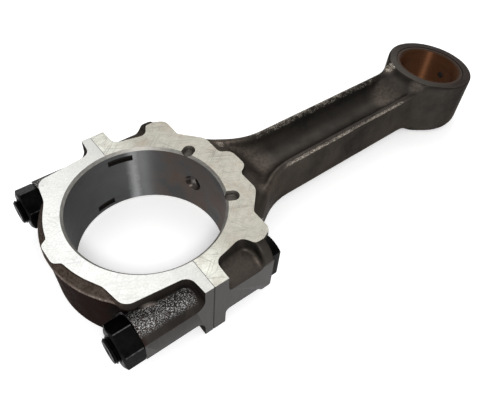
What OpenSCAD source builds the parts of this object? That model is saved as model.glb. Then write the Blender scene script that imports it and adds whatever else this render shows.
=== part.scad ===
// Connecting rod of a heavy diesel engine, with a bolted bearing cap and a keystone small end.
// +X runs from the crankpin bore to the piston pin bore, +Z along both bores.
// The origin is the centre of the crankpin bore. Pieces named left are on the +Y side.

/* [Big end] */
// Diameter of the crankpin housing bore
crank_bore_d = 94; // [90:0.5:96]
// Thickness between the two machined side faces
big_end_t = 47; // [44:0.5:50]
// Width over the machined joint flanges
flange_w = 138; // [136:0.5:142]
// Length of the joint flange on the rod half
rod_flange_l = 8.6; // [7.5:0.1:10]
// Length of the joint flange on the cap half
cap_flange_l = 5.6; // [5:0.1:7]
// Chamfer on both ends of the crankpin housing bore
crank_chamfer = 1.6; // [0.5:0.1:2.5]
// Distance from the crankpin centre to the tip of the rod half's nose
rod_nose_x = 68.2; // [66:0.1:70]
// Distance from the crankpin centre to the tip of the cap's nose
cap_nose_x = 61.7; // [61.2:0.1:64]

/* [Wall round the crankpin bore] */
// Radius of the wall where it meets the lower side face
foot_r = 60; // [59:0.1:60.8]
// Radius of the wall just under its ridge
rib_r = 61; // [60.8:0.1:61.6]
// Radius of the ridge
ridge_r = 62.5; // [61.6:0.1:63]
// Height of the ridge over the middle plane
ridge_z = 16; // [14:0.5:18]
// Radius of the wall where its slope meets the upper side face
face_edge_r = 57.5; // [56:0.1:58.5]

/* [Bolts and nuts] */
// Distance between the two bolt axes
bolt_spacing = 114; // [114:0.5:116]
// Thread and shank diameter of the rod bolts
bolt_d = 16; // [14:0.5:16]
// Radial clearance of a bolt in its hole and in its nut
bolt_gap = 0.08; // [0.02:0.01:0.1]
// Radius of the rod half's barrel around each bolt
barrel_r = 15.5; // [14.5:0.1:16]
// Radius of the cap's barrel around each bolt
cap_barrel_r = 14.2; // [13.9:0.1:15.5]
// Distance from the joint to the nut's seat
nut_seat_x = 43.5; // [42:0.1:45]
// Distance from the joint to the bolt head's seat
head_seat_x = 42.2; // [41:0.1:43]
// Nut size across flats
nut_af = 24; // [22:1:24]
// Nut height
nut_h = 12.4; // [11:0.1:14]
// Length of thread that stands out of the nut
thread_out = 3.3; // [2:0.1:6]
// Diameter of the bolt head
head_d = 28.6; // [26:0.2:30]
// Height of the bolt head
head_h = 8; // [6:0.1:9]
// Distance from the bolt axis to the flat on its head
head_flat = 8.8; // [8.5:0.1:12]

/* [Dowel pins] */
// Diameter of a dowel pin
dowel_d = 5; // [4:0.5:6]
// Depth of a dowel pin in the rod half
dowel_rod_l = 6.5; // [5:0.1:7]
// Depth of a dowel pin in the cap
dowel_cap_l = 4; // [3:0.1:4.5]

/* [Shank] */
// Distance between the crankpin and piston pin centres
centre_distance = 262; // [255:1:270]
// Shank width at the big end
shank_w_big = 38; // [36:0.5:40]
// Shank width at the small end
shank_w_small = 36; // [34:0.5:38]
// Shank thickness over its flanges
shank_t = 36; // [35:0.5:40]
// Thickness of the web between the two channels
web_t = 13; // [11:0.5:15]
// Width of each channel at its mouth
channel_w = 27; // [24:0.5:28]
// Diameter of the oil drilling through the shank
oil_d = 7; // [5:0.5:8]

/* [Small end] */
// Outer diameter of the small end
eye_d = 66.6; // [64:0.2:70]
// Thickness of the small end at the piston pin axis
eye_t = 39; // [37:0.5:40]
// Slope of each keystone face to the middle plane, in degrees
keystone_angle = 6; // [4:0.5:7]
// Outer diameter of the pressed bush
bush_od = 54; // [52:0.5:55]
// Piston pin bore of the bush
pin_bore_d = 48; // [46:0.5:49]

/* [Hidden] */

forged = [0.2, 0.18, 0.17];
cap_forged = [0.24, 0.21, 0.19];
bronze = [0.55, 0.32, 0.16];
bolt_black = [0.09, 0.09, 0.09];
pin_steel = [0.6, 0.6, 0.62];

$fn = 96;
arc_step = 12;
big = 400;
half_t = big_end_t / 2;
half_w = flange_w / 2;
bolt_y = bolt_spacing / 2;
hole_r = bolt_d / 2 + bolt_gap;
crank_r = crank_bore_d / 2;
eye_r = eye_d / 2;
shank_half_t = shank_t / 2;
floor_z = web_t / 2;
bolt_end_x = nut_seat_x + nut_h + thread_out;
dowel_y = bolt_y + 4;
dowel_z = -18;

// Lugs beside the bolt heads: where they start and end, their underside and their two rounded corners
lug_start_x = 35.5;
lug_end_x = 48.6;
lug_face_y = 57.8;
lug_corner_r = 13;
lug_low_z = -16;
lug_low_r = 4;
head_pocket_r = 20;
nut_pocket_r = 15;

// The wall's lip below its ridge, its flat sides beside the barrels, and the underside of the raised pads
ridge_lip = 2;
ring_side_y = 54;
pad_foot_z = 8;

// Slots for the bearing shells' tangs, in the wall on the +Y side
tang_depth = 1.8;
tang_w = 4.6;
tang_rod_l = 16;
tang_cap_l = 13;
tang_rod_z = 16.6;
tang_cap_z = -17.2;

// Notches in the upper rim of the rod half: the centres of their two round ends, and their width
notch_angle = 27;
notch_from_r = 49.5;
notch_to_r = 51.9;
notch_w = 6;
notch_depth = 3;

// Oil drilling: where it leaves the crankpin bore, its countersink, and the hole in the eye's crown
oil_angle = 18.6;
oil_mouth_d = 11.5;
crown_oil_d = 5;

// Corners of the raised pads' outline on the upper faces, each as [x, y, corner radius], for y > 0 only
rod_face_corners = [
    [rod_nose_x, 7.2, 6], [61.3, 11.5, 4], [61.3, 27, 8], [lug_end_x, 40.5, 3],
    [lug_end_x, lug_face_y, 5.5], [lug_start_x, lug_face_y, 4], [29.5, 50.4, 7],
    [rod_flange_l + 0.7, 56, 7], [rod_flange_l, half_w, 0], [0, half_w, 0]
];
cap_face_corners = [
    [-cap_nose_x, 7.3, 4], [-56.2, 10, 1.5], [-46.8, 35, 10], [-43.8, 51.6, 7],
    [-cap_flange_l - 1.6, 55.6, 6.5], [-cap_flange_l, half_w, 0], [0, half_w, 0]
];

// Fillet where each side of the shank runs into the eye: its centre, and where it leaves the eye's circle
neck_r = 12;
neck_y = shank_w_small / 2 + neck_r;
neck_x = sqrt(pow(eye_r + neck_r, 2) - pow(neck_y, 2));
neck_angle = atan2(neck_y, neck_x);
neck_corner_x = centre_distance - neck_x + neck_r * tan(45 - neck_angle / 2);

// Corners of the shank's plan outline below the machined faces, for y > 0 only
shank_corners = [
    [centre_distance, 10, 0],
    [centre_distance - eye_r * cos(neck_angle), eye_r * sin(neck_angle), 0],
    [neck_corner_x, shank_w_small / 2, neck_r - 0.01],
    [88, shank_w_big / 2, 45], [58, 37.5, 6], [30, 44, 0]
];

function unit(v) = v / norm(v);
function plan(corner) = [corner.x, corner.y];

// Points of the arc that rounds corner b, between its neighbours a and c
function corner_arc(a, b, c, r) = r == 0 ? [b] :
    let (
        u = unit(a - b),
        v = unit(c - b),
        half = acos(u * v) / 2,
        centre = b + unit(u + v) * r / sin(half),
        first = b + u * r / tan(half) - centre,
        last = b + v * r / tan(half) - centre,
        start = atan2(first.y, first.x),
        sweep = (atan2(last.y, last.x) - start + 540) % 360 - 180,
        steps = max(2, ceil(abs(sweep) / arc_step))
    )
    [for (i = [0:steps]) centre + r * [cos(start + sweep * i / steps), sin(start + sweep * i / steps)]];

// Closed outline from corners given as [x, y, radius]
function rounded(corners) =
    let (n = len(corners))
    [for (i = [0:n - 1])
        each corner_arc(plan(corners[(i + n - 1) % n]), plan(corners[i]), plan(corners[(i + 1) % n]), corners[i].z)];

// The corners for y > 0, followed by their mirror images in reverse order
function mirrored(corners) = concat(
    corners,
    [for (i = [len(corners) - 1:-1:0]) [corners[i].x, -corners[i].y, corners[i].z]]
);

module slab(outline, thickness) {
    translate([0, 0, -thickness / 2]) linear_extrude(thickness) polygon(outline);
}

// Raised pad that ends in an upper face
module pad(corners) {
    translate([0, 0, pad_foot_z]) linear_extrude(half_t - pad_foot_z) polygon(rounded(mirrored(corners)));
}

// Joint flange of one half, from the joint to the given x
module flange(x) {
    translate([min(x, 0), -half_w, -half_t]) cube([abs(x), flange_w, big_end_t]);
}

// Cylinder along +X from start to end, at height y and z
module rod_x(r, start, end, y = 0, z = 0) {
    translate([start, y, z]) rotate([0, 90, 0]) cylinder(r = r, h = end - start);
}

// Outline in the XZ plane, extruded evenly about y = 0
module prism_y(outline, width) {
    rotate([90, 0, 0]) slab(outline, width);
}

// Outline in the YZ plane, extruded along X
module prism_x(outline, start, end) {
    translate([start, 0, 0]) rotate([90, 0, 90]) linear_extrude(end - start) polygon(outline);
}

module both_sides() {
    children();
    mirror([0, 1, 0]) children();
}

module both_faces() {
    children();
    mirror([0, 0, 1]) children();
}

// Half space on one side of the joint plane, as wide as the joint flanges
module half_big_end(side) {
    translate([side > 0 ? 0 : -big, -half_w, -half_t]) cube([big, flange_w, big_end_t]);
}

// Wall around the crankpin bore, with a ridge and a slope up to the raised pads
module ring() {
    intersection() {
        rotate_extrude() polygon([
            [crank_r - 2, -half_t], [foot_r, -half_t], [rib_r, ridge_z - ridge_lip],
            [ridge_r, ridge_z], [face_edge_r, half_t], [crank_r - 2, half_t]
        ]);
        translate([-big / 2, -ring_side_y, -half_t]) cube([big, 2 * ring_side_y, big_end_t]);
    }
}

module crank_bore() {
    translate([0, 0, -big_end_t]) cylinder(r = crank_r, h = 2 * big_end_t, $fn = 180);
    both_faces() translate([0, 0, half_t - crank_chamfer])
        cylinder(r1 = crank_r, r2 = crank_r + 2 * crank_chamfer, h = 2 * crank_chamfer, $fn = 180);
}

module bolt_holes() {
    both_sides() rod_x(hole_r, -nut_seat_x - 20, head_seat_x + 20, bolt_y);
}

// Pocket for the tang of a bearing shell, from the joint to the given x
module tang_slot(x, z) {
    intersection() {
        translate([0, 0, z - tang_w / 2]) cylinder(r = crank_r + tang_depth, h = tang_w, $fn = 180);
        translate([min(x, 0), 0, -half_t]) cube([abs(x), half_w, big_end_t]);
    }
}

module rim_notch(angle) {
    rotate([0, 0, angle]) translate([0, 0, half_t - notch_depth]) {
        translate([notch_from_r, -notch_w / 2, 0]) cube([notch_to_r - notch_from_r, notch_w, 2 * notch_depth]);
        for (r = [notch_from_r, notch_to_r]) translate([r, 0, 0]) cylinder(d = notch_w, h = 2 * notch_depth);
    }
}

// Lug beside the bolt head, with corners rounded towards the outside
module lug() {
    prism_x(rounded([
        [44, half_t, 0], [half_w, half_t, lug_corner_r], [half_w, lug_low_z, lug_low_r], [44, lug_low_z, 0]
    ]), lug_start_x, head_seat_x);
}

module head_pocket() {
    rod_x(head_pocket_r, head_seat_x, lug_end_x + 15, bolt_y);
}

module rod_half() {
    intersection() {
        union() {
            pad(rod_face_corners);
            ring();
            flange(rod_flange_l);
            both_sides() {
                rod_x(barrel_r, -1, head_seat_x, bolt_y);
                lug();
            }
        }
        half_big_end(1);
    }
}

// Solid between the two keystone faces, raised or lowered by a gap
module keystone_wedge(gap) {
    slope = tan(keystone_angle);
    reach = 40;
    high = eye_t / 2 + slope * reach + gap;
    low = eye_t / 2 - slope * reach + gap;
    translate([centre_distance, 0, 0])
        prism_y([[-reach, -high], [reach, -low], [reach, low], [-reach, high]], 4 * reach);
}

module eye() {
    intersection() {
        translate([centre_distance, 0, -big_end_t / 2]) cylinder(r = eye_r, h = big_end_t);
        keystone_wedge(0);
    }
}

module shank() {
    slab(rounded(mirrored(shank_corners)), shank_t);
}

// Channel of the I-section on the upper face, with sloped ends and rounded floor corners
module channel() {
    mouth = channel_w / 2;
    top = shank_half_t + 1;
    intersection() {
        prism_y(rounded([
            [70, top, 0], [83, floor_z, 11], [206, floor_z, 13], [225.3, top, 0]
        ]), channel_w);
        prism_x(rounded([
            [mouth, top, 0], [mouth - 2, floor_z, 6], [2 - mouth, floor_z, 6], [-mouth, top, 0]
        ]), 60, 235);
    }
}

// Oil drilling from the crankpin bore to the bush, and the hole in the crown of the eye
module oil_holes() {
    mouth = crank_r * [cos(oil_angle), sin(oil_angle)];
    run = [centre_distance, 0] - mouth;
    translate([mouth.x, mouth.y, 0]) rotate([0, 0, atan2(run.y, run.x)]) {
        rod_x(oil_d / 2, -3, norm(run) - pin_bore_d / 2 + 3);
        rod_x(oil_mouth_d / 2, -6, 1.5);
    }
    rod_x(crown_oil_d / 2, centre_distance, centre_distance + eye_r + 5);
}

module dowel_holes(gap) {
    both_sides() rod_x(dowel_d / 2 + gap, -dowel_cap_l - 0.3, dowel_rod_l, dowel_y, dowel_z);
}

module rod_body() {
    color(forged) difference() {
        union() {
            rod_half();
            shank();
            eye();
        }
        crank_bore();
        bolt_holes();
        both_sides() head_pocket();
        both_faces() channel();
        translate([centre_distance, 0, -big_end_t]) cylinder(d = bush_od, h = 2 * big_end_t);
        oil_holes();
        tang_slot(tang_rod_l, tang_rod_z);
        rim_notch(notch_angle);
        rim_notch(-notch_angle);
        dowel_holes(0);
    }
}

module bearing_cap() {
    color(cap_forged) difference() {
        intersection() {
            union() {
                pad(cap_face_corners);
                ring();
                flange(-cap_flange_l);
                both_sides() rod_x(cap_barrel_r, -nut_seat_x, 1, bolt_y);
            }
            half_big_end(-1);
        }
        crank_bore();
        bolt_holes();
        both_sides() rod_x(nut_pocket_r, -ridge_r, -nut_seat_x, bolt_y);
        tang_slot(-tang_cap_l, tang_cap_z);
        dowel_holes(0.05);
    }
}

module small_end_bush() {
    color(bronze) difference() {
        intersection() {
            translate([centre_distance, 0, -half_t]) cylinder(d = bush_od, h = big_end_t);
            keystone_wedge(-0.3);
        }
        translate([centre_distance, 0, -big_end_t]) cylinder(d = pin_bore_d, h = 2 * big_end_t);
        oil_holes();
    }
}

// Bolt with a round head whose outer side is cut flat, on the side given by the sign
module rod_bolt(side) {
    point = 1.2;
    color(bolt_black) translate([0, side * bolt_y, 0]) {
        rod_x(bolt_d / 2, point - bolt_end_x, head_seat_x);
        translate([-bolt_end_x, 0, 0]) rotate([0, 90, 0])
            cylinder(r1 = bolt_d / 2 - point, r2 = bolt_d / 2, h = point);
        intersection() {
            rod_x(head_d / 2, head_seat_x, head_seat_x + head_h);
            translate([0, -side * (head_d - head_flat) - head_d, -head_d])
                cube([big, 2 * head_d, 2 * head_d]);
        }
    }
}

module rod_nut(side) {
    color(bolt_black) difference() {
        translate([-nut_seat_x - nut_h, side * bolt_y, 0]) rotate([0, 90, 0])
            cylinder(r = nut_af / sqrt(3), h = nut_h, $fn = 6);
        rod_x(hole_r, -nut_seat_x - 2 * nut_h, 0, side * bolt_y);
    }
}

module dowel_pin(side) {
    color(pin_steel) rod_x(dowel_d / 2, -dowel_cap_l, dowel_rod_l, side * dowel_y, dowel_z);
}

rod_body();
bearing_cap();
small_end_bush();
rod_bolt(1);  // rod_bolt_left
rod_bolt(-1);  // rod_bolt_right
rod_nut(1);  // rod_nut_left
rod_nut(-1);  // rod_nut_right
dowel_pin(1);  // dowel_pin_left
dowel_pin(-1);  // dowel_pin_right
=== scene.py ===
"""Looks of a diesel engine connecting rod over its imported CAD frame.

The two forgings are built as smooth distance fields in millimetres, meshed, and then machined with boolean
cutters.
"""
import math

import bmesh
import bpy
import numpy as np
from mathutils import Matrix, Vector


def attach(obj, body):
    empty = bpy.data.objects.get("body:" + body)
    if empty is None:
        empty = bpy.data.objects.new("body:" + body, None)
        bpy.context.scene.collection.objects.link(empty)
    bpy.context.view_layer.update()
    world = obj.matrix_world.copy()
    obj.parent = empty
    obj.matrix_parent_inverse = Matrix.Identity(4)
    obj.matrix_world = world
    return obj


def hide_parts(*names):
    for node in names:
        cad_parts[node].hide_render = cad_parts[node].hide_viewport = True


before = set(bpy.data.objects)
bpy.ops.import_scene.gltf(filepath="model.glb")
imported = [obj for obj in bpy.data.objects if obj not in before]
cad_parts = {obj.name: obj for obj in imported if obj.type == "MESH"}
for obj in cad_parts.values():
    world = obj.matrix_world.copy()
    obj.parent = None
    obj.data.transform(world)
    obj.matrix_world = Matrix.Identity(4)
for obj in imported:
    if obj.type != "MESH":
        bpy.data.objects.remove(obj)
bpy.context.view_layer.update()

MM = 0.001
STEP = 0.8

# Sizes in millimetres, as in the CAD, with the origin in the middle of the crankpin bore
CRANK_R = 47.0
HALF_T = 23.5
HALF_W = 69.0
BLANK_Y = HALF_W + 2
RING_R = 61.0
RING_SIDE = 53.5
RIDGE_R = 62.4
RIDGE_Z = 16.0
BOLT_Y = 57.0
BOLT_R = 8.0
HOLE_R = 8.08
BARREL_R = 15.5
CAP_BARREL_R = 14.2
ROD_FLANGE_T = 8.6
CAP_FLANGE_T = 5.6
LUG_HALF_T = 3.6
LUG_FLOOR = -16.0
NUT_SEAT = 43.5
NUT_H = 12.4
NUT_AF = 24.0
BOLT_END = 59.2
THREAD_PITCH = 1.5
THREAD_FROM = 30.0
HEAD_SEAT = 42.2
HEAD_R = 14.3
HEAD_H = 8.0
HEAD_FLAT = 8.8
CENTRES = 262.0
EYE_R = 33.3
EYE_HALF_T = 19.5
KEYSTONE = math.tan(math.radians(6))
BUSH_R = 27.0
PIN_R = 24.0
SHANK_HALF_T = 18.0
SHANK_FLANGE = 5.2
WEB_HALF_T = 6.5
CHANNEL = (82.0, 209.0)
OIL_R = 3.5
OIL_ANGLE = 18.6
DOWEL = (61.0, -18.0)
DOWEL_R = 2.5
EDGE_BREAK = 0.45
FACE_BREAK = 0.15


# ---------------------------------------------------------------- distance fields

def smooth_min(a, b, k):
    """Union of two fields, with a fillet where they are within k of each other."""
    h = np.maximum(k - np.abs(a - b), 0.0) / k
    return np.minimum(a, b) - h * h * k * 0.25


def smooth_max(a, b, k):
    """Intersection of two fields, with a rounded edge."""
    return -smooth_min(-a, -b, k)


def rounded(corners):
    """Closed outline from corners (x, y, radius), with each corner replaced by an arc."""
    points = []
    count = len(corners)
    for i, (x, y, radius) in enumerate(corners):
        here = Vector((x, y))
        if radius == 0:
            points.append(here)
            continue
        before = (Vector(corners[i - 1][:2]) - here).normalized()
        after = (Vector(corners[(i + 1) % count][:2]) - here).normalized()
        half = before.angle(after) / 2
        centre = here + (before + after).normalized() * radius / math.sin(half)
        first = here + before * radius / math.tan(half) - centre
        last = here + after * radius / math.tan(half) - centre
        start = math.atan2(first.y, first.x)
        sweep = (math.atan2(last.y, last.x) - start + 3 * math.pi) % (2 * math.pi) - math.pi
        steps = max(2, math.ceil(abs(sweep) / math.radians(7)))
        for j in range(steps + 1):
            angle = start + sweep * j / steps
            points.append(centre + radius * Vector((math.cos(angle), math.sin(angle))))
    return np.array([(p.x, p.y) for p in points])


def mirrored(corners):
    """The corners, and then their mirror images in y, back to the start."""
    return corners + [(x, -y, r) for x, y, r in reversed(corners)]


def outline_distance(outline, x, y):
    """Signed distance to a closed outline on the grid x by y, negative inside."""
    px, py = np.meshgrid(x, y, indexing="ij")
    best = np.full(px.shape, 1e9)
    inside = np.zeros(px.shape, bool)
    for a, b in zip(outline, np.roll(outline, -1, axis=0)):
        edge = b - a
        t = np.clip(((px - a[0]) * edge[0] + (py - a[1]) * edge[1]) / max(edge @ edge, 1e-12), 0, 1)
        best = np.minimum(best, np.hypot(px - a[0] - t * edge[0], py - a[1] - t * edge[1]))
        crosses = (a[1] > py) != (b[1] > py)
        if edge[1] != 0:
            inside ^= crosses & (px < a[0] + (py - a[1]) * edge[0] / edge[1])
    return np.where(inside, -best, best)[:, :, None]


CELL_CORNERS = list(np.ndindex(2, 2, 2))


class Forging:
    """A distance field on a regular grid, symmetric in y."""

    def __init__(self, low_x, high_x, high_y, high_z, shape):
        x = np.arange(low_x, high_x + STEP, STEP)
        y = np.arange(0, high_y + STEP, STEP)
        z = np.arange(-high_z, high_z + STEP, STEP)
        half = shape(x, y, z)
        for edge in (half[0], half[-1], half[:, -1], half[:, :, 0], half[:, :, -1]):
            np.maximum(edge, STEP, out=edge)
        self.field = np.concatenate([half[:, :0:-1], half], axis=1)
        self.origin = np.array([x[0], -y[-1], z[0]])
        self.slope = [g / STEP for g in np.gradient(self.field)]

    def sample(self, values, points):
        """Trilinear value at points, from values on the grid."""
        p = np.clip((points - self.origin) / STEP, 0, np.array(values.shape) - 1.001)
        cell = np.clip(np.floor(p).astype(int), 0, np.array(values.shape) - 2)
        t = p - cell
        total = 0.0
        for corner in CELL_CORNERS:
            weight = np.prod(np.where(corner, t, 1 - t), axis=1)
            total = total + weight * values[tuple((cell + corner).T)]
        return total

    def normals(self, points):
        """Outward directions of the field at points."""
        n = np.stack([self.sample(g, points) for g in self.slope], axis=1)
        return n / np.maximum(np.linalg.norm(n, axis=1, keepdims=True), 1e-9)

    def surface(self):
        """Points and quads of the zero surface, as a net with one point in each cell that it crosses."""
        inside = self.field < 0
        size = np.array(inside.shape) - 1
        count = np.zeros(size, int)
        for a, b, c in CELL_CORNERS:
            count += inside[a:a + size[0], b:b + size[1], c:c + size[2]]
        active = (count > 0) & (count < 8)
        cells = np.argwhere(active)
        number = np.full(active.shape, -1)
        number[active] = np.arange(len(cells))
        return self.net_points(cells), self.net_quads(inside, number)

    def net_points(self, cells):
        """The mean of the crossings on each cell's edges, pulled onto the surface."""
        values = [self.field[tuple((cells + c).T)] for c in CELL_CORNERS]
        total = np.zeros((len(cells), 3))
        hits = np.zeros(len(cells))
        for i, a in enumerate(CELL_CORNERS):
            for j, b in enumerate(CELL_CORNERS):
                if j > i and sum(abs(p - q) for p, q in zip(a, b)) == 1:
                    cross = (values[i] < 0) != (values[j] < 0)
                    t = np.where(cross, values[i] / np.where(cross, values[i] - values[j], 1), 0)
                    total += cross[:, None] * (np.array(a) + t[:, None] * (np.array(b) - a))
                    hits += cross
        points = self.origin + STEP * (cells + total / hits[:, None])
        for _ in range(3):
            shift = np.clip(self.sample(self.field, points), -STEP / 2, STEP / 2)
            points -= shift[:, None] * self.normals(points)
        return points

    @staticmethod
    def net_quads(inside, number):
        """A quad round each grid edge that leaves or enters the metal, facing out."""
        quads = []
        for axis in range(3):
            u, v = np.eye(3, dtype=int)[(axis + 1) % 3], np.eye(3, dtype=int)[(axis + 2) % 3]
            here = np.moveaxis(inside, axis, 0)
            change = np.zeros(inside.shape, bool)
            np.moveaxis(change, axis, 0)[:-1] = here[:-1] != here[1:]
            nodes = np.argwhere(change)
            quad = np.stack([number[tuple((nodes - s).T)] for s in (u + v, v, 0 * u, u)], axis=1)
            leaving = inside[tuple(nodes.T)]
            quads.append(np.where(leaving[:, None], quad, quad[:, ::-1]))
        return np.concatenate(quads)


# ---------------------------------------------------------------- the two forgings

# Outlines in plan. Each goes past the joint, the side or the next part, where it is cut off or blends in.
ROD_PAD = rounded(mirrored([
    (68.2, 7.2, 6), (61.3, 11.5, 4), (61.3, 27, 8), (48.6, 40.5, 3), (48.6, 57.8, 5.5), (35.5, 57.8, 4),
    (29.5, 50.4, 7), (9.3, 56, 7), (ROD_FLANGE_T, BLANK_Y, 0), (-6, BLANK_Y, 0)]))
CAP_PAD = rounded(mirrored([
    (-61.6, 7.3, 4), (-56.2, 10, 1.5), (-46.8, 35, 10), (-43.8, 51.6, 7), (-7.2, 55.6, 6.5),
    (-CAP_FLANGE_T, BLANK_Y, 0), (6, BLANK_Y, 0)]))
SHANK = rounded(mirrored([(CENTRES, 17.8, 0), (88, 19, 45), (58, 37.5, 6), (30, 44, 0)]))


def grid(x, y, z):
    """The three axes, shaped so that they combine to a grid."""
    return x[:, None, None], y[None, :, None], z[None, None, :]


def ring_field(x, y, z):
    """Wall round the crankpin bore, with a lip at its ridge, a slope up to the pads and flat sides."""
    r = np.hypot(x, y)
    wall = r - RING_R - (z - 14) * 0.027
    slope = (r - RIDGE_R) * 0.837 + (z - RIDGE_Z) * 0.547
    lip = smooth_max(smooth_max(r - RIDGE_R, RIDGE_Z - 1.2 - z, 0.8), slope, 0.8)
    return smooth_max(smooth_min(np.maximum(wall, slope), lip, 1.4), y - RING_SIDE, 5.0)


def big_end_field(x, y, z, away, barrel_r, barrel_end, flange_t, fillet):
    """Ring, bolt barrels and joint flanges of one half. away is the distance from the joint."""
    barrel = np.maximum(np.hypot(y - BOLT_Y, z) - barrel_r, away - barrel_end)
    flange = np.maximum(away - flange_t, y - BLANK_Y) + 0 * z
    return smooth_min(smooth_min(ring_field(x, y, z), barrel, 5.0), flange, fillet)


def pad_field(outline, x, y, z, draft, foot):
    """Raised pad from the foot's height up, with sides that spread downwards by the draft."""
    side = outline_distance(outline, x, y) - draft * np.maximum(HALF_T - z, 0)[None, None, :]
    return smooth_max(side, foot - z[None, None, :], 3.0)


def lug_field(x, y, z):
    """Lug that the bolt head seats on, with a large round corner above and a small one below."""
    high_r, low_r = 13, 4
    high = np.hypot(np.maximum(y - HALF_W + high_r, 0), np.maximum(z - HALF_T + high_r, 0)) - high_r
    low = np.hypot(np.maximum(y - HALF_W + low_r, 0), np.maximum(LUG_FLOOR + low_r - z, 0)) - low_r
    lug = np.maximum(np.where(z > 0, high, low), 40 - y)
    return smooth_max(lug, np.abs(x - HEAD_SEAT + LUG_HALF_T) - LUG_HALF_T, 1.6)


def shank_field(x, y, z):
    """I section: a tapered bar with a channel in both faces, which ends in a ramp near each bore."""
    gx, _, gz = grid(x, y, z)
    height = np.abs(gz)
    outer_draft, inner_draft = 0.05, 0.16
    plan = outline_distance(SHANK, x, y)
    side = plan + outer_draft * height
    bar = smooth_max(side, height - SHANK_HALF_T + 0 * side, 4.0)
    wall = plan + SHANK_FLANGE + inner_draft * (SHANK_HALF_T - height)
    channel = smooth_max(wall, WEB_HALF_T - height + 0 * plan, 10.0)
    crank_ramp = (CHANNEL[0] - gx) * 0.64 - (height - WEB_HALF_T) * 0.77
    eye_ramp = (gx - CHANNEL[1]) * 0.6 - (height - WEB_HALF_T) * 0.8
    channel = smooth_max(channel, smooth_max(eye_ramp, crank_ramp, 6.0), 4.5)
    return smooth_max(bar, -channel, 3.5)


def eye_field(x, y, z):
    """Small end, with metal left on its keystone faces for machining and a softer rim towards the shank."""
    left_on = 0.3
    face = np.abs(z) - EYE_HALF_T + KEYSTONE * (x - CENTRES) - left_on
    soft = np.clip((CENTRES + 6 - x) / 9, 1.2, 4.0)
    return smooth_max(np.hypot(x - CENTRES, y) - EYE_R + 0 * z, face, soft)


def rod_shape(x, y, z):
    """Rod forging. The shank and the eye blend in over more length the nearer the middle plane is."""
    gx, gy, gz = grid(x, y, z)
    height = np.abs(gz)
    body = big_end_field(gx, gy, gz, gx, BARREL_R, HEAD_SEAT + 4, ROD_FLANGE_T, 3.0)
    body = smooth_min(body, lug_field(gx, gy, gz), 4.0)
    body = smooth_min(body, pad_field(ROD_PAD, x, y, z, draft=0.06, foot=10), 3.0)
    body = smooth_min(body, shank_field(x, y, z), np.clip(26 - height, 4.0, 14.0))
    return smooth_min(body, eye_field(gx, gy, gz), np.clip(29 - height, 8.5, 12.0))


def cap_shape(x, y, z):
    """Cap forging."""
    gx, gy, gz = grid(x, y, z)
    body = big_end_field(gx, gy, gz, -gx, CAP_BARREL_R, NUT_SEAT + 3, CAP_FLANGE_T, 7.0)
    return smooth_min(body, pad_field(CAP_PAD, x, y, z, draft=0.0, foot=14), 1.2)


# ---------------------------------------------------------------- meshes and cutters

def new_object(name, points, faces, materials, slots=None):
    """Object from points in millimetres."""
    mesh = bpy.data.meshes.new(name)
    mesh.from_pydata(np.asarray(points) * MM, [], faces if isinstance(faces, list) else faces.tolist())
    for material in materials:
        mesh.materials.append(material)
    if slots is not None:
        mesh.polygons.foreach_set("material_index", slots)
    mesh.validate()
    obj = bpy.data.objects.new(name, mesh)
    bpy.context.scene.collection.objects.link(obj)
    return obj


def turn_to(axis):
    """3x3 numpy rotation that takes +Z to axis."""
    return np.array(Vector((0, 0, 1)).rotation_difference(Vector(axis)).to_matrix())


def lathe(profile, materials, origin=(0, 0, 0), axis=(0, 0, 1), segments=96, rows=None, name="lathe"):
    """Closed solid of revolution. profile is (height, radius) from one end on the axis to the other, and rows
    gives a material number for each stretch of it."""
    inner = profile[1:-1]
    rows = rows or [0] * (len(profile) - 1)
    angles = np.linspace(0, 2 * math.pi, segments, endpoint=False)
    circle = np.column_stack([np.cos(angles), np.sin(angles)])
    rings = [np.column_stack([r * circle, np.full(segments, h)]) for h, r in inner]
    points = np.concatenate(rings + [[(0, 0, profile[0][0])], [(0, 0, profile[-1][0])]])
    bottom, top = len(points) - 2, len(points) - 1
    last = (len(inner) - 1) * segments
    faces, slots = [], []
    for j in range(segments):
        k = (j + 1) % segments
        faces.append((bottom, k, j))
        for i in range(len(inner) - 1):
            faces.append((i * segments + j, i * segments + k, (i + 1) * segments + k, (i + 1) * segments + j))
        faces.append((last + j, last + k, top))
        slots += rows
    return new_object(name, points @ turn_to(axis).T + origin, faces, materials, slots)


def loft(outlines, levels, axis, materials, name="loft", slots=None):
    """Solid through outlines of equal length, one for each level along the axis. The outlines' points are
    (y, z) for axis "x", (x, z) for "y" and (x, y) for "z"."""
    count = len(outlines[0])
    order = {"x": (2, 0, 1), "y": (0, 2, 1), "z": (0, 1, 2)}[axis]
    rows = [np.column_stack([o, np.full(count, level)])[:, order] for o, level in zip(outlines, levels)]
    faces = [tuple(range(count))[::-1], tuple(range((len(rows) - 1) * count, len(rows) * count))]
    for i in range(len(rows) - 1):
        for j in range(count):
            k = (j + 1) % count
            faces.append((i * count + j, i * count + k, (i + 1) * count + k, (i + 1) * count + j))
    return new_object(name, np.concatenate(rows), faces, materials, slots)


def flip_if_inside_out(obj):
    """Turns all faces round if they face into the solid."""
    mesh = bmesh.new()
    mesh.from_mesh(obj.data)
    if mesh.calc_volume(signed=True) < 0:
        bmesh.ops.reverse_faces(mesh, faces=mesh.faces)
    mesh.to_mesh(obj.data)
    mesh.free()


def prism(outline, low, high, axis, materials, slots=None):
    """Extruded outline. slots gives a material number for the low end, the high end and each side."""
    obj = loft([outline, outline], (low, high), axis, materials, "prism", slots)
    flip_if_inside_out(obj)
    return obj


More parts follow.
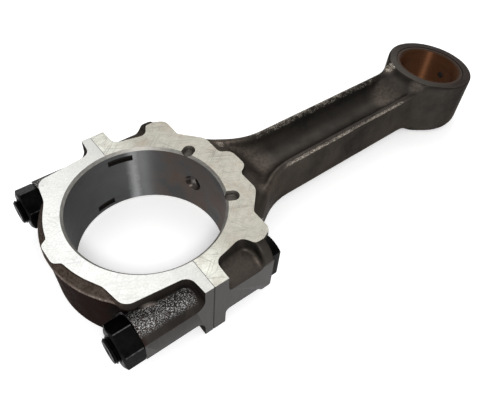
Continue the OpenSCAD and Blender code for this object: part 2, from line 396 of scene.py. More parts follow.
def machine(obj, *cutters, operation="DIFFERENCE"):
    """Applies each cutter to obj and deletes it. New faces keep the cutter's material."""
    for cutter in cutters:
        modifier = obj.modifiers.new("cut", "BOOLEAN")
        modifier.operation = operation
        modifier.object = cutter
        modifier.solver = "MANIFOLD"
        modifier.material_mode = "TRANSFER"
        result = bpy.data.meshes.new_from_object(obj.evaluated_get(bpy.context.evaluated_depsgraph_get()))
        obj.modifiers.clear()
        if not len(result.polygons):
            raise RuntimeError("a cutter left nothing of " + obj.name)
        old, obj.data = obj.data, result
        bpy.data.meshes.remove(old)
        bpy.data.objects.remove(cutter)
    obj.data.name = obj.name


def vertex_points(mesh):
    """Places of the vertices in millimetres."""
    points = np.empty(len(mesh.vertices) * 3)
    mesh.vertices.foreach_get("co", points)
    return points.reshape(-1, 3) / MM


def whole_numbers(items, name):
    """One property of every item, as an array."""
    values = np.empty(len(items), int)
    items.foreach_get(name, values)
    return values


def shade(obj, forging=None, angle=32):
    """Smooth shading with sharp edges. The forged faces, in slot 0, take the field's own normals."""
    mesh = obj.data
    mesh.shade_smooth()
    mesh.set_sharp_from_angle(angle=math.radians(angle))
    if forging is None:
        return
    normals = forging.normals(vertex_points(mesh))
    slot = whole_numbers(mesh.polygons, "material_index")
    forged = np.repeat(slot == 0, whole_numbers(mesh.polygons, "loop_total"))
    corner_normals = normals[whole_numbers(mesh.loops, "vertex_index")]
    mesh.normals_split_custom_set(np.where(forged[:, None], corner_normals, 0.0))


# ---------------------------------------------------------------- materials

class Surface:
    """A material built from procedural nodes, in the object's own space, in metres."""

    def __init__(self, name, **sockets):
        self.material = bpy.data.materials.new(name)
        self.material.use_nodes = True
        self.tree = self.material.node_tree
        self.shader = self.tree.nodes["Principled BSDF"]
        for socket, value in sockets.items():
            self.shader.inputs[socket.replace("_", " ")].default_value = value
        self.where = self.add("ShaderNodeTexCoord").outputs["Object"]

    def add(self, kind, inputs=None, **settings):
        """New node with the settings and with values or links for its inputs."""
        node = self.tree.nodes.new(kind)
        for key, value in settings.items():
            setattr(node, key, value)
        for key, value in (inputs or {}).items():
            self.put(node.inputs[key], value)
        return node

    def put(self, socket, value):
        if isinstance(value, bpy.types.NodeSocket):
            self.tree.links.new(value, socket)
        else:
            socket.default_value = value

    def set(self, socket, value):
        self.put(self.shader.inputs[socket], value)

    def stretched(self, turn, squeeze):
        """Coordinates turned about Z by turn degrees, then squeezed, for scratches and tool marks."""
        turned = self.add("ShaderNodeMapping", {"Vector": self.where, "Rotation": (0, 0, math.radians(turn))})
        return self.add("ShaderNodeMapping", {"Vector": turned.outputs[0], "Scale": squeeze}).outputs[0]

    def noise(self, per_mm, detail=3.0, roughness=0.55, where=None):
        """Noise from 0 to 1, with per_mm grains to the millimetre."""
        inputs = {"Vector": where or self.where, "Scale": per_mm * 1000, "Detail": detail,
                  "Roughness": roughness}
        return self.add("ShaderNodeTexNoise", inputs).outputs["Fac"]

    def cells(self, per_mm):
        """Distance from the nearest of scattered points, with per_mm points to the millimetre."""
        inputs = {"Vector": self.where, "Scale": per_mm * 1000}
        return self.add("ShaderNodeTexVoronoi", inputs).outputs["Distance"]

    def spread(self, value, low, high, to_low=0.0, to_high=1.0):
        """value mapped from low..high to to_low..to_high, clamped."""
        inputs = {"Value": value, "From Min": low, "From Max": high, "To Min": to_low, "To Max": to_high}
        return self.add("ShaderNodeMapRange", inputs, clamp=True).outputs[0]

    def math(self, operation, a, b=0.0):
        return self.add("ShaderNodeMath", {0: a, 1: b}, operation=operation).outputs[0]

    def mix(self, factor, a, b):
        """Colour a at factor 0 and b at 1."""
        node = self.add("ShaderNodeMix", data_type="RGBA")
        self.put(node.inputs["Factor"], factor)
        self.put(node.inputs[6], a)
        self.put(node.inputs[7], b)
        return node.outputs[2]

    def attribute(self, name):
        return self.add("ShaderNodeAttribute", attribute_name=name).outputs["Fac"]

    def along(self, axis):
        """Coordinate in the object's own space."""
        return self.add("ShaderNodeSeparateXYZ", {0: self.where}).outputs[axis]

    def bump(self, *layers):
        """Layers of (height, strength, depth in mm), the first one nearest the surface."""
        normal = None
        for height, strength, depth in layers:
            inputs = {"Height": height, "Strength": strength, "Distance": depth * MM}
            if normal:
                inputs["Normal"] = normal
            normal = self.add("ShaderNodeBump", inputs).outputs[0]
        self.set("Normal", normal)


def grey(level, warm=0.0):
    """Grey with a share more red and less blue."""
    return (level * (1 + warm), level, level * (1 - warm), 1)


def forged_steel(name, dark, light, rough, edge, back_shade=None):
    """Shot-blasted forging, which reads the vertex values set on the forgings: bright flecks where it is
    worn, with painted glints, rubbed metal with painted highlight, painted shade in its hollows, painted
    sheen, and blasted crowns with painted sparkle. The optional last colour is a darker red-brown painted as
    shade on the cap's back."""
    brown_scale = (0.060, 0.046, 0.034, 1)
    hollow_shade_colour = grey(0.005, 0.2)
    sheen_colour = (0.095, 0.078, 0.065, 1)
    rubbed_highlight_colour = (0.22, 0.185, 0.165, 1)
    bare_metal_and_glint = (0.62, 0.56, 0.47, 1)
    cap_back = (-0.045, -0.041)
    s = Surface(name, Metallic=0.82, Specular_IOR_Level=0.15, Specular_Tint=edge)
    colour = s.mix(s.spread(s.noise(0.03, 5, 0.6), 0.35, 0.65), dark, light)
    colour = s.mix(s.spread(s.noise(0.25, 4, 0.7), 0.5, 0.8, 0, 0.5), colour, brown_scale)
    # Painted shade: a darker red-brown towards the cap's back
    if back_shade:
        colour = s.mix(s.spread(s.along("X"), *cap_back, 1, 0), colour, back_shade)
    # Painted shade, darker in the hollows
    colour = s.mix(s.math("MULTIPLY", s.attribute("hollow_shade"), 0.8), colour, hollow_shade_colour)
    # Painted sheen: lighter brown on slopes, ramps and the rod's barrels
    painted_sheen = s.math("MULTIPLY", s.attribute("painted_sheen"), s.spread(s.noise(0.5, 4, 0.7), 0.35, 0.65, 0.3, 1))
    colour = s.mix(painted_sheen, colour, sheen_colour)
    # Rubbed metal on the crests and the cap's ridge, made lighter as a painted highlight
    rubbed_highlight = s.math("MULTIPLY", s.attribute("rubbed_highlight"), s.spread(s.noise(0.2, 3), 0.3, 0.6, 0.35, 0.8))
    colour = s.mix(rubbed_highlight, colour, rubbed_highlight_colour)
    # Bright flecks of worn metal, and painted glints at given spots
    flecks = s.spread(s.noise(1.5, 3, 0.75), 0.50, 0.60)
    ragged = s.math("ADD", s.attribute("wear_and_glint"), s.spread(s.noise(0.3, 3, 0.7), 0.3, 0.7, -0.35, 0.1))
    worn_and_glinting = s.math("MULTIPLY", s.spread(ragged, 0.5, 0.75), flecks)
    worn_and_glinting = s.math("MULTIPLY", worn_and_glinting, s.spread(s.noise(0.09, 2), 0.38, 0.54, 0.45, 1))
    colour = s.mix(worn_and_glinting, colour, bare_metal_and_glint)
    blasted_sparkle = s.attribute("blasted_sparkle")
    grain = s.noise(1.5, 2, 0.8)
    # Painted sparkle: light grey flecks on the blasted crowns
    sparkle = s.math("MULTIPLY", blasted_sparkle, s.spread(grain, 0.53, 0.62))
    s.set("Base Color", s.mix(sparkle, colour, grey(0.55)))
    shine = s.spread(s.noise(0.15, 4), 0.3, 0.7, rough, rough + 0.14)
    s.set("Roughness", s.math("SUBTRACT", shine, s.math("MULTIPLY", worn_and_glinting, 0.15)))
    depth = s.math("MULTIPLY", grain, s.spread(blasted_sparkle, 0, 1, 0.3, 2.0))
    s.bump((s.noise(0.12, 3), 0.3, 0.5), (s.noise(0.45, 3), 0.2, 0.25), (depth, 0.5, 0.25))
    return s.material


def machined_face(name, near_joint, far_from_joint, reach, stain, scratch):
    """Ground face: its colour changes away from the joint as painted light falloff, with stains,
    cross-hatched scratches and pits.
    """
    s = Surface(name, Metallic=0.6)
    distance = s.math("ABSOLUTE", s.along("X"))
    colour = s.mix(s.spread(distance, 0, reach), near_joint, far_from_joint)
    colour = s.mix(s.spread(s.noise(0.07, 5, 0.7), 0.48, 0.75, 0, 0.7), colour, stain)
    fine = s.noise(0.9, 3, 0.8)
    colour = s.mix(s.spread(fine, 0.35, 0.65, 0, 0.22), colour, grey(0.15, 0.05))
    hatch = 0.0
    for turn, low in ((28, 0.55), (-38, 0.57), (64, 0.59), (-8, 0.60)):
        lines = s.noise(1.5, 2, 0.5, s.stretched(turn, (0.03, 1, 1)))
        hatch = s.math("MAXIMUM", hatch, s.spread(lines, low, low + 0.10))
    patchy = s.math("MULTIPLY", hatch, s.spread(s.noise(0.06, 3), 0.35, 0.65, 0.12, 0.62))
    colour = s.mix(patchy, colour, scratch)
    pits = s.spread(s.cells(0.16), 0.03, 0.10, 1, 0)
    pits = s.math("MULTIPLY", pits, s.spread(s.noise(0.05, 2), 0.5, 0.58))
    s.set("Base Color", s.mix(s.math("MULTIPLY", pits, 0.65), colour, grey(0.10, 0.08)))
    s.set("Roughness", s.spread(s.noise(0.3, 4), 0.3, 0.7, 0.38, 0.52))
    s.bump((hatch, 0.35, 0.03), (fine, 0.25, 0.03))
    return s.material


def ground_steel(name, base, marks, rough, metallic=0.7, specular=0.5):
    """Machined steel. marks gives how fine its tool marks are along x, y and z, up to 1."""
    s = Surface(name, Metallic=metallic, Specular_IOR_Level=specular)
    lines = s.noise(1.5, 3, 0.6, s.stretched(0, marks))
    dark = [c * 0.8 for c in base[:3]] + [1]
    light = [min(c * 1.6, 1) for c in base[:3]] + [1]
    colour = s.mix(s.spread(s.noise(0.06, 4), 0.35, 0.7), dark, base)
    s.set("Base Color", s.mix(s.spread(lines, 0.42, 0.7, 0, 0.6), colour, light))
    s.set("Roughness", s.spread(lines, 0.35, 0.65, rough, rough + 0.1))
    s.bump((lines, 0.15, 0.02), (s.noise(0.8, 3), 0.12, 0.04))
    return s.material


def turned_bore(name, dark, light, rough, colour_along=None):
    """Bore finished by a tool that went round the object's Z axis. colour_along, for a bore whose colour
    changes with place, gives that colour from the surface, the tool's rings and both colours."""
    s = Surface(name, Metallic=0.85, Anisotropic=1.0, Anisotropic_Rotation=0.25)
    s.set("Tangent", s.add("ShaderNodeTangent", direction_type="RADIAL", axis="Z").outputs[0])
    rings = s.noise(1.2, 3, 0.6, s.stretched(0, (0.05, 0.05, 1)))
    colour = colour_along(s, rings, dark, light) if colour_along else dark
    s.set("Base Color", s.mix(s.spread(rings, 0.5, 0.75, 0, 0.35), colour, light))
    s.set("Roughness", s.spread(rings, 0.35, 0.65, rough, rough + 0.1))
    s.bump((rings, 0.15, 0.015))
    return s.material


def crankpin_colour(s, rings, dark, light):
    """From the cap to the rod the crankpin bore brightens with painted light, has a painted highlight band
    that stands in for a reflection, and then stains.
    """
    painted_light_from, highlight_at, half_width, stain_from = -0.040, 0.0150, 0.0042, 0.024
    stain = (0.14, 0.105, 0.088, 1)
    highlight_colour = [c * 2.4 for c in light[:3]] + [1]
    # Painted light, lighter from the cap's end towards the rod
    painted_light = s.math("MULTIPLY", s.spread(s.along("X"), painted_light_from, painted_light_from + 0.035),
                    s.spread(s.noise(0.03, 3, 0.5), 0.35, 0.6, 0.6, 1))
    colour = s.mix(painted_light, dark, light)
    place = s.math("ADD", s.along("X"), s.spread(s.noise(0.3, 2), 0.3, 0.7, -0.0005, 0.0005))
    # Painted highlight: a lighter upright band that stands in for a reflection
    off_band = s.math("ABSOLUTE", s.math("SUBTRACT", place, highlight_at))
    painted_highlight = s.math("MULTIPLY", s.spread(off_band, 0.2 * half_width, half_width, 1, 0),
                      s.spread(rings, 0.3, 0.6, 0.6, 1))
    colour = s.mix(painted_highlight, colour, highlight_colour)
    stained = s.math("MULTIPLY", s.spread(s.along("X"), stain_from, stain_from + 0.012),
                     s.spread(s.noise(0.06, 3), 0.38, 0.6))
    return s.mix(stained, colour, stain)


def keystone_face():
    """Ends of the small end: brown, and greyer towards the shank."""
    s = Surface("keystone_face", Metallic=0.5, Specular_IOR_Level=0.1)
    greyer, brown, mark = (0.050, 0.044, 0.037, 1), (0.016, 0.0085, 0.0065, 1), (0.07, 0.055, 0.045, 1)
    marks = s.noise(1.5, 3, 0.6, s.stretched(0, (0.3, 0.3, 1)))
    colour = s.mix(s.spread(s.along("X"), (CENTRES - 26) * MM, CENTRES * MM), greyer, brown)
    s.set("Base Color", s.mix(s.spread(marks, 0.4, 0.7, 0, 0.4), colour, mark))
    s.set("Roughness", s.spread(marks, 0.35, 0.65, 0.42, 0.55))
    s.bump((marks, 0.15, 0.02), (s.noise(0.8, 3), 0.12, 0.04))
    return s.material


def black_oxide(name, dark, light):
    """Blackened steel, a little uneven."""
    s = Surface(name, Metallic=0.6, Specular_IOR_Level=0.06, Specular_Tint=grey(0.5))
    s.set("Base Color", s.mix(s.spread(s.noise(0.12, 5, 0.65), 0.35, 0.7), dark, light))
    s.set("Roughness", s.spread(s.noise(0.5, 4), 0.3, 0.7, 0.30, 0.48))
    s.bump((s.noise(0.6, 3), 0.15, 0.08))
    return s.material


FORGED = forged_steel("forged_rod", dark=(0.027, 0.0245, 0.0225, 1), light=(0.058, 0.051, 0.044, 1),
                      rough=0.42, edge=grey(0.32, 0.05))
# The cap's forging gets a darker red-brown painted as shade on its back.
FORGED_CAP = forged_steel("forged_cap", dark=(0.026, 0.0225, 0.0205, 1), light=(0.048, 0.0420, 0.0380, 1),
                          rough=0.48, edge=(0.22, 0.16, 0.13, 1), back_shade=(0.019, 0.0078, 0.0048, 1))
# The faces' colours change away from the joint as painted light falloff: the rod's darkens towards the small
# end and the cap's lightens towards its back.
FACE = machined_face("machined_rod_face", near_joint=(0.78, 0.785, 0.71, 1),
                     far_from_joint=(0.42, 0.405, 0.345, 1), reach=0.023, stain=(0.29, 0.22, 0.155, 1),
                     scratch=grey(0.15, 0.06))
CAP_FACE = machined_face("machined_cap_face", near_joint=(0.60, 0.60, 0.57, 1),
                         far_from_joint=(0.98, 0.985, 0.955, 1), reach=0.048, stain=(0.74, 0.73, 0.67, 1),
                         scratch=grey(0.60))
KEYSTONE_FACE = keystone_face()
BORE = turned_bore("honed_bore", dark=grey(0.052), light=grey(0.125, -0.01), rough=0.42,
                   colour_along=crankpin_colour)
BRONZE = turned_bore("bronze", dark=(0.12, 0.047, 0.019, 1), light=(0.26, 0.120, 0.055, 1), rough=0.42)
CHAMFER = ground_steel("chamfer", (0.24, 0.23, 0.21, 1), marks=(0.2, 0.2, 1), rough=0.4)
# The ground sides' dark colour is painted shade.
SHADED_SIDE = ground_steel("ground_side_shaded", (0.038, 0.035, 0.033, 1), marks=(1, 1, 0.04), rough=0.42, specular=0.3)
BRONZE_END = ground_steel("bronze_end", (0.045, 0.026, 0.017, 1), marks=(0.3, 0.3, 1), rough=0.45,
                          specular=0.2)
SEAT = ground_steel("spot_face", (0.05, 0.047, 0.045, 1), marks=(1, 0.3, 0.3), rough=0.4)
NOTCH = ground_steel("notch", (0.065, 0.056, 0.048, 1), marks=(0.5, 0.5, 1), rough=0.45)
DRILLED = ground_steel("drilled", (0.022, 0.019, 0.017, 1), marks=(0.5, 0.5, 0.5), rough=0.45)
PIN = ground_steel("ground_pin", (0.5, 0.5, 0.5, 1), marks=(0.2, 1, 1), rough=0.25, metallic=0.95)
BLACK = black_oxide("black_oxide", dark=grey(0.001), light=grey(0.005, 0.05))
# Worn black, also lighter as painted highlight on the nuts' corners
WORN_HIGHLIT_BLACK = black_oxide("black_oxide_worn_highlit", dark=grey(0.006), light=grey(0.18))


# ---------------------------------------------------------------- machining both forgings

def bore_cutter():
    """Crankpin bore with a 45 degree chamfer at both ends."""
    straight, past = HALF_T - 1.6, HALF_T + 6.5
    mouth = CRANK_R + past - straight
    profile = [(-past, 0), (-past, mouth), (-straight, CRANK_R),
               (straight, CRANK_R), (past, mouth), (past, 0)]
    return lathe(profile, [BORE, CHAMFER], segments=256, rows=[0, 1, 0, 1, 0])


def hole_cutter(side, seat, pocket_r, fillet, end, direction):
    """Bolt hole, spot face and pocket, from just inside the joint outwards."""
    profile = [(-2, 0), (-2, HOLE_R), (seat, HOLE_R), (seat, pocket_r - fillet),
               (seat + fillet * 0.3, pocket_r - fillet * 0.3), (seat + fillet, pocket_r),
               (end, pocket_r), (end, 0)]
    rows = [0, 0, 1, 1, 1, 1, 1]
    return lathe(profile, [DRILLED, SEAT], (0, side * BOLT_Y, 0), (direction, 0, 0), rows=rows)


def dowel_cutter(side, gap, direction, depth):
    """Dowel hole with a drilled end, wider than the pin by the gap all round."""
    y, z = DOWEL
    profile = [(-1, 0), (-1, DOWEL_R + gap), (depth, DOWEL_R + gap), (depth + 0.8, 0)]
    return lathe(profile, [DRILLED], (0, side * y, z), (direction, 0, 0), 32)


def tang_cutter(first, last, z):
    """Slot for a bearing shell's tang, between two angles in the wall of the crankpin bore."""
    depth, half_width = 1.8, 2.3
    angles = np.radians(np.linspace(first, last, 24))
    arc = np.column_stack([np.cos(angles), np.sin(angles)])
    outline = np.concatenate([arc * (CRANK_R + depth), arc[::-1] * (CRANK_R - 3)])
    return prism(outline, z - half_width, z + half_width, "z", [DRILLED])


def notch_cutter(angle):
    """Oval notch in the rim, with a rounded floor and a bevelled mouth."""
    first, last, half_width = 49.6, 51.9, 2.9
    turn = math.radians(angle)
    rotation = np.array([(math.cos(turn), math.sin(turn)), (-math.sin(turn), math.cos(turn))])
    t = np.linspace(-math.pi / 2, math.pi / 2, 20)
    levels, outlines = [], []
    for level, inset in ((20.6, 1.7), (20.8, 0.9), (21.3, 0.3), (22.4, 0.0), (24.4, -2.0)):
        half = half_width - inset
        end = np.column_stack([last + half * np.cos(t), half * np.sin(t)])
        start = np.column_stack([first - half * np.cos(t), -half * np.sin(t)])
        levels.append(level)
        outlines.append(np.concatenate([end, start]) @ rotation)
    return loft(outlines, levels, "z", [NOTCH])


def oil_cutters():
    """Drilling from a countersunk mouth in the crankpin bore to the small end, and one out at its crown."""
    turn = math.radians(OIL_ANGLE)
    mouth = CRANK_R * Vector((math.cos(turn), math.sin(turn), 0))
    run = Vector((CENTRES, 0, 0)) - mouth
    length = 205
    profile = [(-6, 0), (-6, 7.4), (0.2, 6.0), (1.6, 4.2), (2.4, OIL_R), (length, OIL_R), (length, 0)]
    drilling = lathe(profile, [DRILLED, BORE], mouth, run, 48, [0, 1, 1, 1, 0, 0])
    crown = lathe([(0, 0), (0, 2.5), (40, 2.5), (40, 0)], [DRILLED], (CENTRES, 0, 0), (1, 0, 0), 40)
    return drilling, crown


def joint_bevel(side, direction):
    """Bevel along the upright edge of the joint."""
    y = side * HALF_W
    inward = -side * EDGE_BREAK
    outline = [(0, y + inward), (direction * EDGE_BREAK, y), (0, y + side)]
    return prism(outline, -HALF_T - 1, HALF_T + 1, "z", [DRILLED])


def rod_envelope():
    """The planes that the rod half is machined to, with its joint edges broken."""
    slope_start = CENTRES - (HALF_T - EYE_HALF_T) / KEYSTONE
    end = 300
    tip = EYE_HALF_T - KEYSTONE * (end - CENTRES)
    near = HALF_T - FACE_BREAK
    outline = [(0, -near), (FACE_BREAK, -HALF_T), (slope_start, -HALF_T), (end, -tip), (end, tip),
               (slope_start, HALF_T), (FACE_BREAK, HALF_T), (0, near)]
    slots = [1, 1, 3, 0, 2, 2, 2, 0, 3, 3]
    return prism(outline, -HALF_W, HALF_W, "y", [FACE, SHADED_SIDE, KEYSTONE_FACE, DRILLED], slots)


def cap_envelope():
    """The planes that the cap is machined to, with its joint edges broken."""
    end = -70
    near = HALF_T - FACE_BREAK
    outline = [(end, -HALF_T), (-FACE_BREAK, -HALF_T), (0, -near),
               (0, near), (-FACE_BREAK, HALF_T), (end, HALF_T)]
    return prism(outline, -HALF_W, HALF_W, "y", [CAP_FACE, SHADED_SIDE, DRILLED], [1, 1, 0, 2, 2, 2, 0, 2])


# ---------------------------------------------------------------- wear and painted light on the forgings

# Spots on the upper side, as x, distance from the centre line, z and radius
# Painted glints
GLINT_SPOTS = [(230, 15, 21, 5), (70, 22.5, 15, 3.5), (55, 41, 15, 3)]
# Patches of painted sheen
SHEEN_SPOTS = [(76, 15, 14, 10), (84, 4, 8, 11), (212, 0, 14, 10), (70, 24, 15, 6), (229, 13, 19, 4)]


def ramp(value, start, end):
    """Zero at start, one at end, and clamped past both. start may be the larger."""
    return np.clip((value - start) / (end - start), 0, 1)


def near_spots(x, y, z, spots):
    """One within 0.6 of the radius from any spot, falling to zero at 1.6 of it."""
    reach = [np.sqrt((x - at_x) ** 2 + (y - at_y) ** 2 + (z - at_z) ** 2) / radius
             for at_x, at_y, at_z, radius in spots]
    return ramp(np.minimum.reduce(reach), 1.6, 0.6)


def wear_and_light_marks(obj, forging):
    """Vertex values for forged_steel, from 0 to 1."""
    points = vertex_points(obj.data)
    normals = forging.normals(points)
    x, y, z = points.T
    far_side = y > 0
    y, height = np.abs(y), np.abs(z)
    from_bolt = np.hypot(y - BOLT_Y, z)
    round_bolt = np.degrees(np.arctan2(y - BOLT_Y, z))

    # The field a little below the surface and above it tells crests and hollows from flats
    reach = 2.4
    crest = ramp(forging.sample(forging.field, points - reach * normals), -reach, 1.1 - reach)
    # Hollows, which get painted shade
    hollow = ramp(forging.sample(forging.field, points + reach * normals), reach, reach - 1.2)

    # Shank: a bright line of worn flecks along each crest, in a wider strip of rubbed metal with painted
    # highlight
    on_shank = ramp(x, 84, 96) * ramp(x, 226, 206) * (height > SHANK_HALF_T - 3)
    off_line = y - np.where(far_side, 16.9, 17.9) + 0.007 * (x - 88)
    line = on_shank * np.exp(-(off_line / 1.1) ** 2)
    strip = on_shank * np.exp(-(off_line / 2.0) ** 2) * np.where(far_side, 0.1, 0.45)
    crest = crest * np.where(far_side, 0.35 + 0.36 * on_shank, 0.35)
    # Painted glints at spots on the far side
    glint_spots = far_side * near_spots(x, y, z, GLINT_SPOTS)

    # Big end: the worn rim of its faces, the cap's ridge of rubbed metal with painted highlight, and painted
    # sheen on the slope between them
    rim = ramp(height, HALF_T - 0.9, HALF_T - 0.2) * (x < 80)
    ridge = ramp(np.hypot(np.hypot(x, y) - RIDGE_R + 0.2, z - RIDGE_Z), 1.76, 0.66) * (x < -8)
    # Painted sheen on the cap's slope
    slope = ramp(z, RIDGE_Z, RIDGE_Z + 1.2) * ramp(z, HALF_T - 0.2, HALF_T - 1.0) * ramp(x, -40, -44)

    # Bolt barrels: the cap's are blasted, with painted sparkle on top, and the rod's get a painted sheen
    blasted_sparkle = ramp(round_bolt, -35, -21) * ramp(round_bolt, 40, 26) * (x < -7) * (x > -NUT_SEAT - 1)
    blasted_sparkle = blasted_sparkle * ramp(from_bolt, CAP_BARREL_R + 1.2, CAP_BARREL_R)
    barrel = ramp(np.abs(from_bolt - BARREL_R), 2.25, 0.75) * ramp(z, 5, 13) * (x > 9) * (x < 36)

    marks = {
        "wear_and_glint": np.maximum.reduce([line, crest, 0.75 * rim, 0.72 * ridge, glint_spots]),
        "rubbed_highlight": np.maximum(ridge, strip),
        "painted_sheen": np.maximum.reduce([slope, 0.6 * barrel, near_spots(x, y, z, SHEEN_SPOTS)]),
        "hollow_shade": hollow,
        "blasted_sparkle": blasted_sparkle}
    for name, value in marks.items():
        obj.data.attributes.new(name, "FLOAT", "POINT").data.foreach_set("value", value)


# ---------------------------------------------------------------- the two forgings, machined

def build_rod():
    """Upper half of the big end, shank and small end."""
    forging = Forging(low_x=-4, high_x=299, high_y=72, high_z=27, shape=rod_shape)
    obj = new_object("rod_forging", *forging.surface(), [FORGED])
    machine(obj, rod_envelope(), operation="INTERSECT")
    machine(obj, bore_cutter())
    for side in (1, -1):
        machine(obj, hole_cutter(side, HEAD_SEAT, pocket_r=20, fillet=1.5, end=64, direction=1))
        machine(obj, dowel_cutter(side, gap=0, direction=1, depth=6.5))
        machine(obj, notch_cutter(27 * side), joint_bevel(side, 1))
    eye_bore = lathe([(-30, 0), (-30, BUSH_R), (30, BUSH_R), (30, 0)], [DRILLED], (CENTRES, 0, 0),
                     segments=160)
    machine(obj, eye_bore, *oil_cutters(), tang_cutter(first=70, last=95, z=16.6))
    shade(obj, forging)
    wear_and_light_marks(obj, forging)
    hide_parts("rod_body")
    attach(obj, "rod")


def build_cap():
    """Lower half of the big end."""
    forging = Forging(low_x=-68, high_x=4, high_y=72, high_z=27, shape=cap_shape)
    obj = new_object("cap_forging", *forging.surface(), [FORGED_CAP])
    machine(obj, cap_envelope(), operation="INTERSECT")
    machine(obj, bore_cutter())
    for side in (1, -1):
        machine(obj, hole_cutter(side, NUT_SEAT, pocket_r=15, fillet=1.1, end=66, direction=-1))
        machine(obj, dowel_cutter(side, gap=0.05, direction=-1, depth=4.3))
        machine(obj, joint_bevel(side, -1))
    machine(obj, tang_cutter(first=85, last=106, z=-17.2))
    shade(obj, forging)
    wear_and_light_marks(obj, forging)
    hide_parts("bearing_cap")
    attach(obj, "cap")


# ---------------------------------------------------------------- bush, bolts, nuts and pins

def build_bush():
    """Bush whose ends follow the keystone faces, chamfered at all four edges."""
    half_t, outer, inner = EYE_HALF_T - 0.3, 0.5, 0.9
    end = [(BUSH_R, outer), (BUSH_R - outer, 0), (PIN_R + inner, 0), (PIN_R, inner)]
    profile = [(r, -1, inset) for r, inset in end] + [(r, 1, inset) for r, inset in reversed(end)]
    segments, count = 160, len(profile)
    angles = np.linspace(0, 2 * math.pi, segments, endpoint=False)
    rows = []
    for r, sign, inset in profile:
        x = r * np.cos(angles)
        rows.append(np.column_stack([x, r * np.sin(angles), sign * (half_t - KEYSTONE * x - inset)]))
    faces, slots = [], []
    for i in range(count):
        n = (i + 1) % count
        on_end = profile[i][0] != profile[n][0]
        slots += [int(on_end)] * segments
        for j in range(segments):
            k = (j + 1) % segments
            faces.append((i * segments + j, n * segments + j, n * segments + k, i * segments + k))
    obj = new_object("bush", np.concatenate(rows), faces, [BRONZE, BRONZE_END], slots)
    obj.location.x = CENTRES * MM
    flip_if_inside_out(obj)
    machine(obj, *oil_cutters())
    shade(obj)
    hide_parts("small_end_bush")
    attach(obj, "rod")


def build_bolt(side, word):
    """Bolt with a modelled thread, a lathe centre in its end and one flat on its head."""
    thread_depth, run_out, clear = 0.9, 3, 0.03
    angles = np.linspace(0, 2 * math.pi, 64, endpoint=False)
    levels, sections = [], []

    def section(x, radius, flat=HEAD_R):
        """Cross-section at x, cut off at the flat's distance from the axis."""
        y = np.minimum(radius * np.cos(angles), flat) + BOLT_Y
        levels.append(x)
        sections.append(np.column_stack([side * y, radius * np.sin(angles)]))

    section(0.9 - BOLT_END, 1.2)
    section(-BOLT_END, 2.3)
    for x in np.arange(-BOLT_END, -THREAD_FROM, THREAD_PITCH / 8):
        turn = (x / THREAD_PITCH + angles / (2 * math.pi)) % 1
        groove = np.clip(2.5 * np.abs(turn - 0.5) - 0.12, 0, 1) * min(1, (-THREAD_FROM - x) / run_out)
        lead_in = BOLT_R - 1.2 + (x + BOLT_END)
        section(x, np.minimum(BOLT_R - clear - thread_depth * groove, lead_in))
    for x in (-THREAD_FROM, -20, 38, HEAD_SEAT):
        section(x, BOLT_R)
    for x, inset in ((0, 0.5), (0.5, 0), (HEAD_H - 1, 0), (HEAD_H - 0.3, 0.4), (HEAD_H, 1.1)):
        section(HEAD_SEAT + x, HEAD_R - inset, HEAD_FLAT - 0.3 * inset)
    obj = loft(sections, levels, "x", [BLACK], "bolt_" + word)
    flip_if_inside_out(obj)
    shade(obj, angle=40)
    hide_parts("rod_bolt_" + word)
    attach(obj, "bolt_" + word)


def build_nut(side, word):
    """Hexagon nut, turned down at both ends, with worn corners lightened as painted highlights and a
    countersunk hole.
    """
    centre = (0, side * BOLT_Y, 0)
    corner = NUT_AF / math.sqrt(3)
    angles = [math.radians(60 * i) for i in range(6)]
    hexagon = rounded([(corner * math.sin(a), corner * math.cos(a), 0.7) for a in angles])
    per_corner = len(hexagon) // 6
    # The rounded corners take the lighter black: wear and painted highlights along the edges
    slots = [0, 0] + [int(i % per_corner < per_corner - 1) for i in range(len(hexagon))]
    low, high = -NUT_SEAT - NUT_H, -NUT_SEAT
    obj = prism(hexagon + (side * BOLT_Y, 0), low, high, "x", [BLACK, WORN_HIGHLIT_BLACK], slots)
    obj.name = "nut_" + word
    turned = [(low, 0), (low, 11.4), (low + 1.4, 13.9), (high - 0.9, 13.9), (high, 12.2), (high, 0)]
    machine(obj, lathe(turned, [BLACK], centre, (1, 0, 0), 128), operation="INTERSECT")
    hole = [(low - 1, 0), (low - 1, 9.4), (low + 0.4, HOLE_R),
            (high - 0.4, HOLE_R), (high + 1, 9.4), (high + 1, 0)]
    machine(obj, lathe(hole, [BLACK], centre, (1, 0, 0), 64))
    shade(obj, angle=25)
    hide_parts("rod_nut_" + word)
    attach(obj, "nut_" + word)


def build_dowel(side, word):
    """Dowel pin with chamfered ends, pressed into the rod."""
    y, z = DOWEL
    profile = [(-4, 0), (-4, 2), (-3.5, DOWEL_R), (6, DOWEL_R), (6.5, 2), (6.5, 0)]
    obj = lathe(profile, [PIN], (0, side * y, z), (1, 0, 0), 48, name="dowel_" + word)
    shade(obj)
    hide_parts("dowel_pin_" + word)
    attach(obj, "rod")


# ---------------------------------------------------------------- stage, light and camera

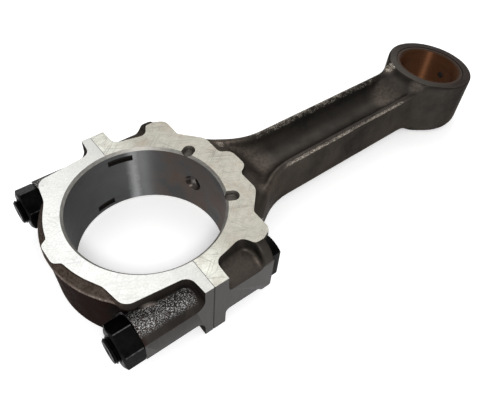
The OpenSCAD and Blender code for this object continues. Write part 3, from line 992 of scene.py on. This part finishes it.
def area_light(name, place, aim, size, power):
    """Rectangular soft light at a place, turned to its aim."""
    data = bpy.data.lights.new(name, "AREA")
    data.shape = "RECTANGLE"
    data.size, data.size_y = size
    data.energy = power
    light = bpy.data.objects.new(name, data)
    light.location = place
    light.rotation_euler = (Vector(aim) - Vector(place)).to_track_quat("-Z", "Y").to_euler()
    bpy.context.scene.collection.objects.link(light)


def build_stage():
    """Pale floor under the rod, white surroundings, and a key light and a back light."""
    half = 3000
    corners = [(-half, -half, -HALF_T), (half, -half, -HALF_T), (half, half, -HALF_T), (-half, half, -HALF_T)]
    floor = Surface("pale_floor", Roughness=0.9, Emission_Color=grey(1.0), Emission_Strength=0.3)
    floor.set("Base Color", floor.mix(floor.spread(floor.noise(0.01, 2), 0.3, 0.7), grey(0.96), grey(0.97)))
    new_object("floor", corners, [(0, 1, 2, 3)], [floor.material])
    world = bpy.data.worlds.new("studio")
    bpy.context.scene.world = world
    world.use_nodes = True
    world.node_tree.nodes["Background"].inputs["Color"].default_value = (1, 1, 1, 1)
    world.node_tree.nodes["Background"].inputs["Strength"].default_value = 0.64
    area_light("key", (-0.22, -0.45, 0.62), (0.06, 0, 0), (0.16, 0.16), 3.0)
    area_light("back", (0.55, 0.55, 0.85), (0.08, 0, 0), (0.8, 0.8), 3.6)
    bpy.context.scene.view_settings.view_transform = "Standard"


def build_camera():
    """Camera close above the near side of the cap, looking along the rod, a little rolled."""
    data = bpy.data.cameras.new("camera")
    data.lens = 39.07
    data.sensor_width = 36
    data.clip_start = 0.01
    camera = bpy.data.objects.new("camera", data)
    place = Vector((-88.3, -184.3, 263.1)) * MM
    right = Vector((0.7888, -0.6117, 0.0598)).normalized()
    back = right.cross(Vector((0.4411, 0.6311, 0.6380))).normalized()
    turn = Matrix((right, back.cross(right), back)).transposed()
    camera.matrix_world = Matrix.Translation(place) @ turn.to_4x4()
    bpy.context.scene.collection.objects.link(camera)
    bpy.context.scene.camera = camera


build_camera()
build_stage()
build_rod()
build_cap()
build_bush()
for side, word in ((1, "left"), (-1, "right")):
    build_bolt(side, word)
    build_nut(side, word)
    build_dowel(side, word)
